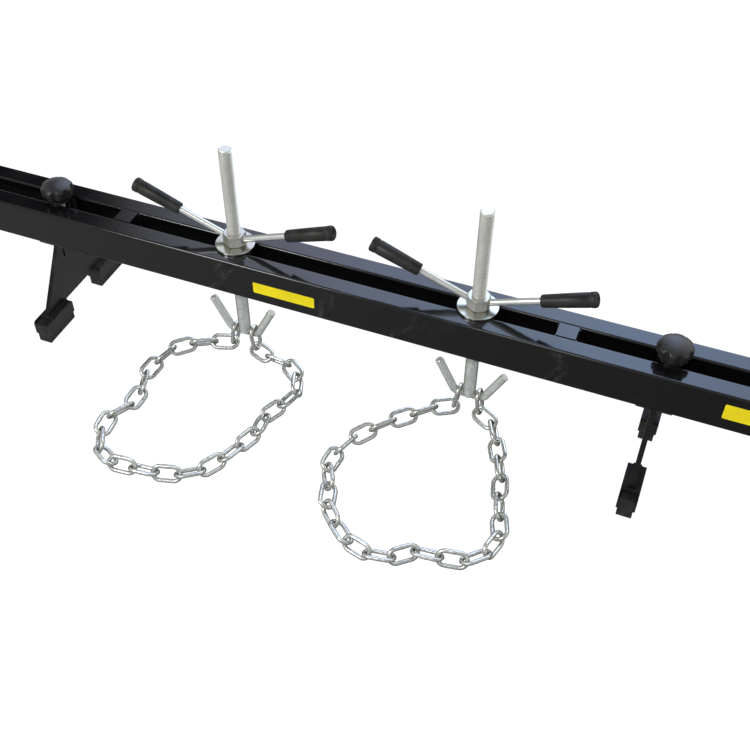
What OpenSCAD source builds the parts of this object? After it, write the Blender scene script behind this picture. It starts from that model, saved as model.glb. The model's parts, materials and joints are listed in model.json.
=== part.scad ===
// Engine support bar: a twin-rail beam on two clamped sliding legs, with two
// lifting screws that each carry a bar hook and a loop of welded chain.
// Millimetres. X runs along the beam, Z is up. The origin is at mid-span,
// in the middle of the slot, level with the rails' top faces.

/* [Beam] */
// Length of the two rails
beam_l = 1500; // [1300:10:1700]
// Width of one rail's tube
rail_w = 24; // [20:1:30]
// Height of one rail's tube
rail_h = 50; // [40:1:60]
// Wall of the rails' tube
rail_wall = 2; // [1.5:0.5:2.5]
// Outer corner radius of the rails' tube
rail_r = 3; // [3:0.5:5]
// Width of the slot between the rails
slot_w = 21; // [19:0.5:26]
// Distance of the middle spacers from mid-span
spacer_x = 280; // [260:5:300]
// Length of a spacer along the beam
spacer_l = 22.5; // [16:0.5:30]
// Height of a spacer, flush with the rails' top faces
spacer_h = 40; // [30:1:44]
// Thickness of the end caps' rim
cap_rim = 3; // [2:0.5:6]
// Depth of the end caps' plug inside the tube
cap_plug = 14; // [8:1:25]
// Wall of the end caps' plug
cap_wall = 2; // [1.5:0.5:3]
// Clearance of the plug in the tube, on each side
cap_gap = 0.05; // [0.05:0.05:0.3]

/* [Legs] */
// Place of the left leg along the beam
left_leg_x = -380; // [-420:5:-350]
// Place of the right leg along the beam
right_leg_x = 391; // [360:1:430]
// Thickness of the leg's plate
plate_t = 6; // [4:0.5:8]
// Height from the shoes' top to the rails' underside
leg_h = 90; // [70:1:140]
// Width of the plate at its top
plate_top_w = 44; // [36:1:54]
// Width of the plate at its foot
plate_foot_w = 146; // [120:1:160]
// Height of the plate's upright edge above the shoes
plate_edge = 6; // [4:1:12]
// Width of the relief slits in the plate
slit_w = 3; // [2:0.5:5]
// Distance of the relief slits from the plate's middle
slit_y = 16.5; // [10:0.5:18]
// Depth of the relief slits
slit_h = 24; // [10:1:30]
// Thickness of the saddle under the rails
saddle_t = 5; // [4:0.5:8]
// Length of the saddle along the beam
saddle_l = 40; // [30:1:50]
// Width of the saddle across the beam
saddle_w = 58; // [50:1:66]
// Height of the tongue that guides the leg in the slot
tongue_h = 14; // [8:1:24]
// Clearance of the tongue on each side of the slot
tongue_gap = 0.5; // [0.3:0.1:1]

/* [Feet] */
// Width of a shoe's channel
shoe_w = 22; // [20:0.5:28]
// Wall of a shoe's channel
shoe_wall = 2; // [1.5:0.5:3]
// Height of a shoe's walls
shoe_h = 19; // [14:1:22]
// Length of a shoe
shoe_l = 56; // [45:1:70]
// Distance from the beam's middle to the shoe's inner end
shoe_y = 34; // [30:1:38]
// Length cut from the shoe's web at its outer end
shoe_cut = 12; // [6:1:16]
// Rounding of the shoe's ends and corners
shoe_r = 4; // [3:0.5:6]
// Clearance of the rubber in the channel, on each side
pad_gap = 0.75; // [0.3:0.05:0.9]
// Height of the rubber pad
pad_h = 31; // [26:1:40]
// Rounding of the rubber pad's lower edges
pad_r = 3; // [2:0.5:5]

/* [Clamp knobs] */
// Distance of the clamp stud from the plate's middle, along the beam
stud_off = 4; // [0:1:8]
// Radius of the clamp stud
stud_r = 5; // [4:0.5:6]
// Radius of the knob's head over its lobes
knob_r = 20; // [18:0.5:23]
// Height of the knob's head
knob_h = 17; // [14:1:24]
// Radius of the head's domed top
knob_dome = 38; // [30:1:60]
// Number of lobes
lobes = 8; // [6:1:8]
// Depth of the hollow between two lobes
lobe_d = 2.6; // [1.5:0.1:3]
// Radius of the hollow between two lobes
hollow_r = 9; // [7:0.5:10]
// Radius of the knob's hub
hub_r = 10.5; // [9.5:0.5:13]
// Height of the knob's hub
hub_h = 5; // [3:1:14]
// Rounding of the hub's lower rim
hub_round = 0.6; // [0.3:0.1:1]
// Wall of the knob's metal bush
bush_wall = 2.5; // [1.5:0.5:3.5]
// Thickness of the bush's closed top
bush_end = 2; // [1.5:0.5:3]
// Radius of the knob's washer
knob_washer_r = 14; // [13:0.5:20]
// Thickness of the knob's washer
knob_washer_t = 2.5; // [2:0.5:4]
// Rounding of the rims of all washers
rim_r = 0.5; // [0.3:0.1:0.9]

/* [Lifting screws] */
// Place of the left screw along the beam
left_screw_x = -128.5; // [-150:0.5:-110]
// Place of the right screw along the beam
right_screw_x = 176.2; // [150:0.2:185]
// Radius of the screws
screw_r = 8; // [6:0.5:9]
// Length of a screw above the middle of its hook bar
screw_l = 275; // [240:0.5:320]
// Chamfer at the screw's top
screw_chamfer = 1.5; // [0.5:0.5:2.5]
// Radius of the washers on the rails
washer_r = 24; // [20:0.5:30]
// Thickness of the washers on the rails
washer_t = 3; // [2:0.5:5]
// Clearance of the screw in its washer
washer_gap = 0.8; // [0.5:0.1:1.5]
// Size of the nut across its flats
nut_af = 24; // [22:1:30]
// Height of the nut
nut_h = 15; // [12:1:20]
// Chamfer over the nut's corners
nut_chamfer = 1.2; // [0.6:0.1:2]
// Running clearance of the screw in the nut
run_gap = 0.05; // [0.02:0.01:0.09]
// Radius of the nut's handle bars
handle_r = 4; // [3:0.5:5]
// Slope of the handle bars
handle_slope = 20; // [10:1:30]
// Height of the handle bars on the nut
handle_z = 8; // [6:0.5:9]
// Length of a handle bar from the nut to its grip
handle_l = 62; // [50:1:70]
// Radius of the grips
grip_r = 9; // [7:0.5:11]
// Length of the grips
grip_l = 63; // [50:1:70]
// Length of handle bar inside its grip
grip_hold = 50; // [30:1:58]
// Rounding of the grips' open end
grip_mouth = 1.5; // [0.5:0.5:3]
// Rounding of the grips' closed end
grip_end = 6; // [3:0.5:6.5]

/* [Hooks] */
// Radius of the hook's bar
bar_r = 5; // [4:0.5:6]
// Bend radius of the hook, at the bar's middle
bend_r = 8; // [6.5:0.5:10]
// Half length of the hook's straight bottom
hook_half = 13.6; // [13:0.1:15]
// Angle of the hook's arms to the horizontal
arm_angle = 63; // [50:1:70]
// Straight length of the hook's arms
arm_l = 45; // [35:1:50]
// Chamfer at the arms' ends
arm_chamfer = 1; // [0.5:0.5:2]

/* [Chains] */
// Diameter of the chain's wire
wire_d = 5; // [4:0.1:5.4]
// Inner length of a link
link_l = 28.5; // [27:0.5:32]
// Inner width of a link
link_w = 12.5; // [11.5:0.5:15]
// Slack between two links in line
link_gap = 0.5; // [0.4:0.1:0.8]
// Lean of every other link on the floor; the rest stand square to these
lean = 30; // [25:1:35]
// Distance of the end links from the screw, on the hook
end_x = 12; // [11.6:0.2:12.4]
// Angle by which the end links hang apart
splay = 8; // [4:1:10]
// Reach of the end links below the middle of the loop's links
end_drop = 3.4; // [3:0.1:3.8]
// Slack between an end link and the loop's first joint
end_gap = 0.6; // [0.5:0.1:0.8]
// How far the loop's first and last joints lie in front of the screw
loop_front = 4.5; // [4:0.5:5.5]

/* [Hidden] */
$fn = 64;

// Room between two pieces that seat on each other and move apart
seat = 0.3;
// Length by which a cutter passes right through, and a hub enters its head
eps = 1;
// Small step that keeps two edges from falling on each other
step = 0.1;
// The bends draw a little thinner, and the straight parts reach into them
bend_thin = 0.02;
bend_lap = 0.2;

rail_y = slot_w / 2 + rail_w / 2;
inner_r = rail_r - rail_wall;
spacer_end_x = beam_l / 2 - spacer_l / 2;
plate_top = -rail_h - seat - saddle_t;
shoe_top = -rail_h - leg_h;
pad_top = shoe_top - shoe_wall;
floor_z = pad_top - pad_h;
pad_w = shoe_w - 2 * shoe_wall - 2 * pad_gap;
washer_top = seat + washer_t;
nut_z = washer_top + seat;
left_stud_x = left_leg_x + stud_off;
right_stud_x = right_leg_x + stud_off;
knob_z = 2 * seat + knob_washer_t;
bush_r = stud_r + bush_wall;
bush_top = knob_z + hub_h + knob_h / 2;
bore_top = bush_top - bush_end;
stud_top = bore_top - bush_end;

// Chain: wire's middle line, height of the links on the floor, end links
bow_r = (link_w + wire_d) / 2;
bow_x = link_l / 2 + wire_d / 2 - bow_r;
link_z = floor_z + seat + wire_d / 2 + bow_r * cos(lean);
end_l = link_l + wire_d;
end_low = link_z - end_drop;
end_top = end_low + end_l * cos(splay);
hook_z = end_top - bar_r - wire_d / 2 - seat;
end_low_x = end_x + end_l * sin(splay);
joint_x = end_low_x - wire_d / 2 - end_gap;

// Headings of the loop's links in degrees, from the left end link round to
// the right one, as the chain lies on the floor
left_headings = [
    -160, -150, -135, -105, -95, -70, -90, -120, -85, -60, -30, 5, 5,
    15, 35, 60, 70, 70, 95, 65, 75, 110, 145, 175, 160
];
right_headings = [
    -150, -135, -135, -130, -125, -110, -95, -60, -75, -45, -40, -15, 10,
    40, 5, 10, 45, 75, 110, 105, 105, 110, 115, 115, 150
];
// More room is taken up where the chain turns, per degree
turn_gap = 0.022;
// Passes of the settling that closes the loop on its end links
settle_passes = 6;

function polar(r, a) = [r * cos(a), r * sin(a)];
function sum(v) = v * [for (i = v) 1];
function slack(h) = let (n = len(h)) [for (i = [0 : n])
    i == 0 || i == n ? link_gap : link_gap + turn_gap * abs(h[i] - h[i - 1])];
function pitch(h) = let (s = slack(h))
    [for (i = [0 : len(h) - 1]) link_l - (s[i] + s[i + 1]) / 2];

// Each heading gives way a little, so that the last link meets its end link
function settle(h, n) = n == 0 ? h :
    let (
        p = pitch(h),
        sx = [for (i = [0 : len(h) - 1]) -p[i] * sin(h[i])],
        sy = [for (i = [0 : len(h) - 1]) p[i] * cos(h[i])],
        ex = 2 * joint_x - sum(sy),
        ey = sum(sx),
        a = sx * sx,
        b = sx * sy,
        c = sy * sy,
        d = a * c - b * b,
        kx = (c * ex - b * ey) / d,
        ky = (a * ey - b * ex) / d
    )
    settle([for (i = [0 : len(h) - 1]) h[i] + (sx[i] * kx + sy[i] * ky) * 180 / PI], n - 1);

function joints(h) = let (p = pitch(h)) [for (
    i = 0, x = -joint_x, y = -loop_front;
    i <= len(h);
    x = x + (i < len(h) ? p[i] * cos(h[i]) : 0),
    y = y + (i < len(h) ? p[i] * sin(h[i]) : 0),
    i = i + 1
) [x, y]];

// A rectangle with rounded corners, about its middle
module rounded_square(w, h, r) {
    square([w - 2 * r, h], center = true);
    square([w, h - 2 * r], center = true);
    for (x = [-1, 1], y = [-1, 1])
        translate([x * (w / 2 - r), y * (h / 2 - r)])
            circle(r);
}

// A turned solid with rounded rims
module turned(r, h, low, high) {
    rotate_extrude()
        intersection() {
            union() {
                translate([0, low])
                    square([r, h - low - high]);
                square([r - low, h]);
                square([r - high, h]);
                translate([r - low, low])
                    circle(low);
                translate([r - high, h - high])
                    circle(high);
            }
            square([r, h]);
        }
}

module rail(side) {
    color("#1b1c1f")
        translate([0, side * rail_y, -rail_h / 2])
            rotate([90, 0, 90])
                linear_extrude(beam_l, center = true)
                    difference() {
                        rounded_square(rail_w, rail_h, rail_r);
                        rounded_square(rail_w - 2 * rail_wall, rail_h - 2 * rail_wall, inner_r);
                    }
}

module spacer(x) {
    color("#1b1c1f")
        translate([x, 0, -spacer_h / 2])
            cube([spacer_l, slot_w, spacer_h], center = true);
}

// Plugs with a rim, one in each tube at one end of the beam
module end_caps(end) {
    plug_w = rail_w - 2 * (rail_wall + cap_gap);
    plug_h = rail_h - 2 * (rail_wall + cap_gap);
    color("#141414")
        for (side = [-1, 1])
            translate([end * beam_l / 2, side * rail_y, -rail_h / 2])
                rotate([90, 0, 90 * end])
                    difference() {
                        union() {
                            linear_extrude(cap_rim)
                                rounded_square(rail_w, rail_h, rail_r);
                            translate([0, 0, -cap_plug])
                                linear_extrude(cap_plug)
                                    rounded_square(plug_w, plug_h, inner_r + cap_gap);
                        }
                        translate([0, 0, -cap_plug - eps])
                            linear_extrude(cap_plug + eps)
                                square([plug_w - 2 * cap_wall, plug_h - 2 * cap_wall], center = true);
                    }
}

// Flat bar under the rails with the tongue that guides it in the slot
module saddle(x) {
    color("#1b1c1f")
        translate([x, 0, 0])
            difference() {
                union() {
                    translate([-saddle_l / 2, -saddle_w / 2, plate_top])
                        cube([saddle_l, saddle_w, saddle_t]);
                    translate([-saddle_l / 2, -slot_w / 2 + tongue_gap, plate_top + saddle_t / 2])
                        cube([saddle_l, slot_w - 2 * tongue_gap, saddle_t / 2 + seat + tongue_h]);
                }
                translate([stud_off, 0, plate_top - eps])
                    cylinder(r = stud_r + run_gap, h = saddle_t + seat + tongue_h + 2 * eps);
            }
}

module leg_plate(x) {
    edge_z = shoe_top + plate_edge;
    color("#1b1c1f")
        translate([x, 0, 0])
            difference() {
                rotate([90, 0, 90])
                    linear_extrude(plate_t, center = true)
                        polygon([
                            [-plate_top_w / 2, plate_top], [plate_top_w / 2, plate_top],
                            [plate_foot_w / 2, edge_z], [plate_foot_w / 2, shoe_top],
                            [-plate_foot_w / 2, shoe_top], [-plate_foot_w / 2, edge_z]
                        ]);
                for (side = [-1, 1])
                    translate([0, side * slit_y, plate_top]) {
                        translate([-plate_t, -slit_w / 2, -slit_h])
                            cube([2 * plate_t, slit_w, slit_h + eps]);
                        translate([0, 0, -slit_h])
                            rotate([0, 90, 0])
                                cylinder(d = slit_w, h = 2 * plate_t, center = true);
                    }
            }
}

// Threaded stud, upright in the saddle
module stud(x) {
    color("#8d9195")
        translate([x, 0, plate_top])
            cylinder(r = stud_r, h = stud_top - plate_top);
}

module knob_washer(x) {
    color("#1b1c1f")
        translate([x, 0, seat])
            difference() {
                turned(knob_washer_r, knob_washer_t, rim_r, rim_r);
                translate([0, 0, -eps])
                    cylinder(r = stud_r + seat, h = knob_washer_t + 2 * eps);
            }
}

// Outline of the knob's head: round lobes with a hollow between each two
module star() {
    half = 180 / lobes;
    far = knob_r - lobe_d + hollow_r;
    tip = (knob_r * knob_r + far * far - 2 * knob_r * far * cos(half) - hollow_r * hollow_r)
        / (2 * (hollow_r + knob_r - far * cos(half)));
    touch = (tip - step) / (tip + hollow_r);
    difference() {
        union() {
            polygon([for (i = [0 : lobes - 1], side = [-1, 1])
                (1 - touch) * polar(knob_r - tip, 2 * i * half)
                    + touch * polar(far, (2 * i + side) * half)]);
            for (i = [0 : lobes - 1])
                translate(polar(knob_r - tip, 2 * i * half))
                    circle(tip);
        }
        for (i = [0 : lobes - 1])
            translate(polar(far, (2 * i + 1) * half))
                circle(hollow_r - step / 2);
    }
}

// Star knob: a lobed head with a domed top, on a hub
module knob(x) {
    color("#151515")
        translate([x, 0, knob_z])
            difference() {
                union() {
                    turned(hub_r, hub_h + eps, hub_round, hub_round);
                    translate([0, 0, hub_h])
                        intersection() {
                            linear_extrude(knob_h)
                                star();
                            translate([0, 0, knob_h - knob_dome])
                                sphere(knob_dome);
                        }
                }
                translate([0, 0, -eps])
                    cylinder(r = bush_r, h = bush_top - knob_z + eps);
            }
}

// Metal bush moulded into the knob, blind at its top
module knob_bush(x) {
    color("#b0905a")
        translate([x, 0, knob_z])
            difference() {
                cylinder(r = bush_r, h = bush_top - knob_z);
                translate([0, 0, -eps])
                    cylinder(r = stud_r + run_gap, h = bore_top - knob_z + eps);
            }
}

// Channel with its web cut back at the outer end and its inner end rounded
module shoe(x, side) {
    color("#1b1c1f")
        translate([x, 0, 0])
            mirror([0, side < 0 ? 1 : 0, 0])
                translate([0, shoe_y, shoe_top - shoe_h])
                    difference() {
                        rotate([90, 0, 90])
                            linear_extrude(shoe_w, center = true) {
                                square([shoe_l, shoe_h - shoe_r]);
                                translate([shoe_r, 0])
                                    square([shoe_l - 2 * shoe_r, shoe_h]);
                                for (y = [shoe_r, shoe_l - shoe_r])
                                    translate([y, shoe_h - shoe_r])
                                        circle(shoe_r);
                            }
                        translate([-shoe_w / 2 + shoe_wall, -eps, -eps])
                            cube([shoe_w - 2 * shoe_wall, shoe_l + 2 * eps, shoe_h - shoe_wall + eps]);
                        translate([-shoe_w / 2 + shoe_wall, shoe_l - shoe_cut, -eps])
                            cube([shoe_w - 2 * shoe_wall, shoe_cut + eps, shoe_h + 2 * eps]);
                    }
}

module pad(x, side) {
    color("#2a2a2a")
        translate([x, side * (shoe_y + shoe_l / 2), pad_top - pad_h / 2])
            intersection() {
                cube([pad_w, shoe_l, pad_h], center = true);
                translate([0, 0, pad_r])
                    rotate([90, 0, 0])
                        linear_extrude(shoe_l + 2 * eps, center = true)
                            rounded_square(pad_w, pad_h + 2 * pad_r, pad_r);
                translate([0, 0, pad_r])
                    rotate([90, 0, 90])
                        linear_extrude(pad_w + 2 * eps, center = true)
                            rounded_square(shoe_l, pad_h + 2 * pad_r, pad_r);
            }
}

module washer(x) {
    color("#b9bdc1")
        translate([x, 0, seat])
            difference() {
                turned(washer_r, washer_t, rim_r, rim_r);
                translate([0, 0, -eps])
                    cylinder(r = screw_r + washer_gap, h = washer_t + 2 * eps);
            }
}

module nut(x) {
    corner = nut_af / sqrt(3);
    color("#a9adb2")
        translate([x, 0, nut_z])
            difference() {
                intersection() {
                    rotate(30)
                        cylinder(r = corner, h = nut_h, $fn = 6);
                    rotate_extrude()
                        polygon([
                            [0, 0], [nut_af / 2, 0], [corner + step, nut_chamfer],
                            [corner + step, nut_h - nut_chamfer], [nut_af / 2, nut_h], [0, nut_h]
                        ]);
                }
                translate([0, 0, -eps])
                    cylinder(r = screw_r + run_gap, h = nut_h + 2 * eps);
            }
}

// Frame of one handle: its Z runs out along the bar from the nut's flat
module on_handle(x, side) {
    translate([x, 0, nut_z + handle_z])
        rotate(side < 0 ? 180 : 0)
            translate([nut_af / 2, 0, 0])
                rotate([0, 90 - handle_slope, 0])
                    children();
}

module handle_bars(x) {
    color("#a9adb2")
        for (side = [-1, 1])
            difference() {
                on_handle(x, side)
                    translate([0, 0, -2 * handle_r])
                        cylinder(r = handle_r, h = 2 * handle_r + handle_l + grip_hold);
                translate([x, 0, nut_z + handle_z])
                    cube([nut_af, nut_af, 6 * handle_r], center = true);
            }
}

module grips(x) {
    color("#141414")
        for (side = [-1, 1])
            on_handle(x, side)
                translate([0, 0, handle_l])
                    difference() {
                        turned(grip_r, grip_l, grip_mouth, grip_end);
                        translate([0, 0, -eps])
                            cylinder(r = handle_r + run_gap, h = grip_hold + seat + eps);
                    }
}

// Threaded rod, coped over the hook bar at its lower end
module screw(x) {
    color("#b3b7bb")
        translate([x, 0, hook_z])
            difference() {
                rotate_extrude()
                    polygon([
                        [0, 0], [screw_r, 0], [screw_r, screw_l - screw_chamfer],
                        [screw_r - screw_chamfer, screw_l], [0, screw_l]
                    ]);
                rotate([0, 90, 0])
                    cylinder(r = bar_r + run_gap, h = 4 * screw_r, center = true);
                translate([0, 0, -screw_r])
                    cube([4 * screw_r, 4 * screw_r, 2 * screw_r], center = true);
            }
}

// Round bar bent up at both sides, in one upright plane
module hook(x) {
    color("#b3b7bb")
        translate([x, 0, hook_z])
            rotate([90, 0, 0]) {
                rotate([0, 90, 0])
                    cylinder(r = bar_r, h = 2 * (hook_half + bend_lap), center = true);
                hook_arm();
                mirror([1, 0, 0])
                    hook_arm();
            }
}

// The bend and the straight arm at one side
module hook_arm() {
    translate([hook_half, bend_r, 0]) {
        rotate(-90)
            rotate_extrude(angle = arm_angle)
                translate([bend_r, 0])
                    circle(bar_r - bend_thin);
        rotate(arm_angle)
            translate([-bend_lap, -bend_r, 0])
                rotate([0, 90, 0])
                    rotate_extrude()
                        polygon([
                            [0, 0], [bar_r, 0], [bar_r, arm_l + bend_lap - arm_chamfer],
                            [bar_r - arm_chamfer, arm_l + bend_lap], [0, arm_l + bend_lap]
                        ]);
    }
}

// One link about its middle, its length along X
module link() {
    for (end = [0, 180])
        rotate(end) {
            translate([bow_x, 0, 0])
                rotate(-90)
                    rotate_extrude(angle = 180)
                        translate([bow_r, 0])
                            circle(d = wire_d);
            translate([0, bow_r, 0])
                rotate([0, 90, 0])
                    cylinder(d = wire_d, h = 2 * bow_x, center = true);
        }
}

// The two links that hang on the hook, beside the screw
module chain_ends(x) {
    color("#c3c6c9")
        for (side = [-1, 1])
            translate([x + side * (end_x + end_low_x) / 2, 0, (end_top + end_low) / 2])
                rotate([0, 90 - side * splay, 0])
                    link();
}

module chain_loop(x, headings) {
    h = settle(headings, settle_passes);
    s = slack(h);
    p = joints(h);
    color("#c3c6c9")
        for (i = [0 : len(h) - 1])
            translate([x + p[i].x, p[i].y, link_z])
                rotate(h[i])
                    translate([(link_l - s[i]) / 2, 0, 0])
                        rotate([i % 2 == 0 ? -lean : 90 - lean, 0, 0])
                            link();
}

rail(-1);  // front_rail
rail(1);  // rear_rail
spacer(-spacer_x);  // left_spacer
spacer(spacer_x);  // right_spacer
spacer(-spacer_end_x);  // left_end_spacer
spacer(spacer_end_x);  // right_end_spacer
end_caps(-1);  // left_end_caps
end_caps(1);  // right_end_caps
saddle(left_leg_x);  // left_saddle
leg_plate(left_leg_x);  // left_leg_plate
stud(left_stud_x);  // left_stud
knob_washer(left_stud_x);  // left_knob_washer
knob(left_stud_x);  // left_knob
knob_bush(left_stud_x);  // left_knob_bush
shoe(left_leg_x, -1);  // left_front_shoe
shoe(left_leg_x, 1);  // left_rear_shoe
pad(left_leg_x, -1);  // left_front_pad
pad(left_leg_x, 1);  // left_rear_pad
saddle(right_leg_x);  // right_saddle
leg_plate(right_leg_x);  // right_leg_plate
stud(right_stud_x);  // right_stud
knob_washer(right_stud_x);  // right_knob_washer
knob(right_stud_x);  // right_knob
knob_bush(right_stud_x);  // right_knob_bush
shoe(right_leg_x, -1);  // right_front_shoe
shoe(right_leg_x, 1);  // right_rear_shoe
pad(right_leg_x, -1);  // right_front_pad
pad(right_leg_x, 1);  // right_rear_pad
washer(left_screw_x);  // left_washer
nut(left_screw_x);  // left_nut
handle_bars(left_screw_x);  // left_handle_bars
grips(left_screw_x);  // left_grips
screw(left_screw_x);  // left_screw
hook(left_screw_x);  // left_hook
chain_ends(left_screw_x);  // left_chain_ends
chain_loop(left_screw_x, left_headings);  // left_chain_loop
washer(right_screw_x);  // right_washer
nut(right_screw_x);  // right_nut
handle_bars(right_screw_x);  // right_handle_bars
grips(right_screw_x);  // right_grips
screw(right_screw_x);  // right_screw
hook(right_screw_x);  // right_hook
chain_ends(right_screw_x);  // right_chain_ends
chain_loop(right_screw_x, right_headings);  // right_chain_loop
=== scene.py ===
"""Engine support bar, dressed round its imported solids.

Two lifting screws hang in the slot of a twin-rail beam on two sliding legs. This
script adds threads, welded links, weld beads, knobs, grips, rubber, bare labels
and every finish to the frame's solids. Sizes are in metres.
"""
import json
import math

import bmesh
import bpy
import numpy as np
from mathutils import Matrix, Vector


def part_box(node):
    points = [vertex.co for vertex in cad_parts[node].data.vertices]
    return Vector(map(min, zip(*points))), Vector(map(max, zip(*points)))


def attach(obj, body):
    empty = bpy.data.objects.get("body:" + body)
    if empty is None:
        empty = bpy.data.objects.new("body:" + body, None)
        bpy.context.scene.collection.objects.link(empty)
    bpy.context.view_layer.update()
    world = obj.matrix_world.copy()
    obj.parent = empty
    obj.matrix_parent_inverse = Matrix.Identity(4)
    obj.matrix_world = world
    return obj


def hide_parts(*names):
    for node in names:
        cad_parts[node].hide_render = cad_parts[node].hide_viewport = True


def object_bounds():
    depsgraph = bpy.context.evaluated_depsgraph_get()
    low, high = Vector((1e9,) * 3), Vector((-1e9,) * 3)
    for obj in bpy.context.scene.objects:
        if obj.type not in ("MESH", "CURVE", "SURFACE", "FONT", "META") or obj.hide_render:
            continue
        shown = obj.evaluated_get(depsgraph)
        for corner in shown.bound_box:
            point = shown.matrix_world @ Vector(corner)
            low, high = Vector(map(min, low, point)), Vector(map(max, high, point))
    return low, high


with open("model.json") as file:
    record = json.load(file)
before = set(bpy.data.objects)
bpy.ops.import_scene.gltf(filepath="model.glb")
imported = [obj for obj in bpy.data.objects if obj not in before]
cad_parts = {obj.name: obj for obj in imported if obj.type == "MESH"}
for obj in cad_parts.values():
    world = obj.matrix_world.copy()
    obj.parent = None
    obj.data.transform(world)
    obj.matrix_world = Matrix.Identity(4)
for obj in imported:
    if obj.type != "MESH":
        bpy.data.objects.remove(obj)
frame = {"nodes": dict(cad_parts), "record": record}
cad_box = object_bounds()
solids = frame["nodes"]

MM = 0.001


# Node building

def add(tree, kind, feed=None, **settings):
    """A node in a tree. feed gives its sockets a value or another node's output."""
    node = tree.nodes.new(kind)
    for name, value in settings.items():
        setattr(node, name, value)
    for socket, value in (feed or {}).items():
        if isinstance(value, bpy.types.NodeSocket):
            tree.links.new(value, node.inputs[socket])
        else:
            node.inputs[socket].default_value = value
    return node


def sum_up(tree, operation, *values):
    """One step of arithmetic in a tree, as a socket to feed on."""
    return add(tree, "ShaderNodeMath", dict(enumerate(values)), operation=operation).outputs[0]


def plus(tree, a, b):
    return sum_up(tree, "ADD", a, b)


def minus(tree, a, b):
    return sum_up(tree, "SUBTRACT", a, b)


def times(tree, a, b):
    return sum_up(tree, "MULTIPLY", a, b)


def times_plus(tree, a, b, c):
    return sum_up(tree, "MULTIPLY_ADD", a, b, c)


def vector(tree, x, y, z):
    """A vector put together from three numbers or sockets."""
    return add(tree, "ShaderNodeCombineXYZ", {0: x, 1: y, 2: z}).outputs[0]


def split(tree, value):
    """The three parts of a vector."""
    return add(tree, "ShaderNodeSeparateXYZ", {0: value}).outputs


KINDS = {float: "Float", int: "Int"}


def new_tree(name, kind, sizes, results):
    """A node tree with named sizes and results. Returns it with its two end nodes."""
    tree = bpy.data.node_groups.new(name, kind)
    for way, sockets in (("INPUT", sizes), ("OUTPUT", results)):
        for label, value in sockets.items():
            made = tree.interface.new_socket(
                label, in_out=way, socket_type="NodeSocket" + KINDS.get(type(value), value))
            if type(value) in KINDS:
                made.default_value = value
    return tree, tree.nodes.new("NodeGroupInput"), tree.nodes.new("NodeGroupOutput")


def new_shaper(name, sizes):
    """A geometry tree that takes a guide mesh, named sizes and the finish."""
    return new_tree(name, "GeometryNodeTree", {"Guide": "Geometry", **sizes, "Finish": "Material"},
                    {"Piece": "Geometry"})


def end_shaper(tree, given, end, geometry, crease):
    """Smooth faces with creases past an angle, real meshes, and the finish."""
    smooth = add(tree, "GeometryNodeSetShadeSmooth", {"Geometry": geometry}, domain="FACE")
    angle = add(tree, "GeometryNodeInputMeshEdgeAngle").outputs["Unsigned Angle"]
    sharp = add(tree, "FunctionNodeCompare", {0: angle, 1: math.radians(crease)},
                data_type="FLOAT", operation="GREATER_THAN")
    creased = add(tree, "GeometryNodeSetShadeSmooth",
                  {"Geometry": smooth.outputs[0], "Selection": sharp.outputs[0],
                   "Shade Smooth": False}, domain="EDGE")
    real = add(tree, "GeometryNodeRealizeInstances", {0: creased.outputs[0]})
    done = add(tree, "GeometryNodeSetMaterial",
               {"Geometry": real.outputs[0], "Material": given.outputs["Finish"]})
    tree.links.new(done.outputs[0], end.inputs[0])
    return tree


def new_object(name, data):
    """An object in the scene."""
    made = bpy.data.objects.new(name, data)
    bpy.context.scene.collection.objects.link(made)
    return made


def shape(name, guide, tree, finish, sizes):
    """Runs a tree on a guide mesh, with the sizes that differ from its own, as an object."""
    raw = new_object(name + "_guide", guide)
    step = raw.modifiers.new(name, "NODES")
    step.node_group = tree
    socket = {item.name: item.identifier for item in tree.interface.items_tree
              if item.in_out == "INPUT"}
    for label, value in sizes.items():
        step[socket[label]] = value
    step[socket["Finish"]] = finish
    bpy.context.view_layer.update()
    seen = raw.evaluated_get(bpy.context.evaluated_depsgraph_get())
    mesh = bpy.data.meshes.new_from_object(seen)
    bpy.data.objects.remove(raw)
    mesh.name = name
    if not mesh.materials:
        mesh.materials.append(finish)
    return keep(name, mesh)


def mesh_arrays(mesh):
    """A mesh's points and the corners of its triangles."""
    points = np.empty(len(mesh.vertices) * 3)
    mesh.vertices.foreach_get("co", points)
    mesh.calc_loop_triangles()
    corners = np.empty(len(mesh.loop_triangles) * 3, dtype=np.int64)
    mesh.loop_triangles.foreach_get("vertices", corners)
    return points.reshape(-1, 3), corners.reshape(-1, 3)


def keep(name, mesh):
    """A finished mesh as an object at the origin, its faces pointing outwards."""
    points, corners = mesh_arrays(mesh)
    a, b, c = (points[corners[:, k]] for k in range(3))
    if np.einsum("ij,ij->", a, np.cross(b, c)) < 0:
        mesh.flip_normals()
    return new_object(name, mesh)


def guide_mesh(points, edges=(), **vectors):
    """Points, the edges between them, and a named vector for each point."""
    mesh = bpy.data.meshes.new("guide")
    mesh.from_pydata([tuple(p) for p in points], list(edges), [])
    for label, values in vectors.items():
        layer = mesh.attributes.new(label, "FLOAT_VECTOR", "POINT")
        layer.data.foreach_set("vector", np.asarray(values, dtype=np.float32).ravel())
    return mesh


def polyline(points, closed=False, start=0):
    """The edges of one line through points, numbered from start."""
    last = start + len(points) - 1
    edges = [(i, i + 1) for i in range(start, last)]
    return edges + [(last, start)] if closed else edges


def lines_mesh(lines, closed=False):
    """Several lines as one guide."""
    points, edges = [], []
    for line in lines:
        edges += polyline(line, closed, len(points))
        points += line
    return guide_mesh(points, edges)


# Shared textures

def surface_place(tree):
    """Object coordinates, so that a finish stays on its piece when that moves."""
    return add(tree, "ShaderNodeTexCoord").outputs["Object"]


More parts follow.
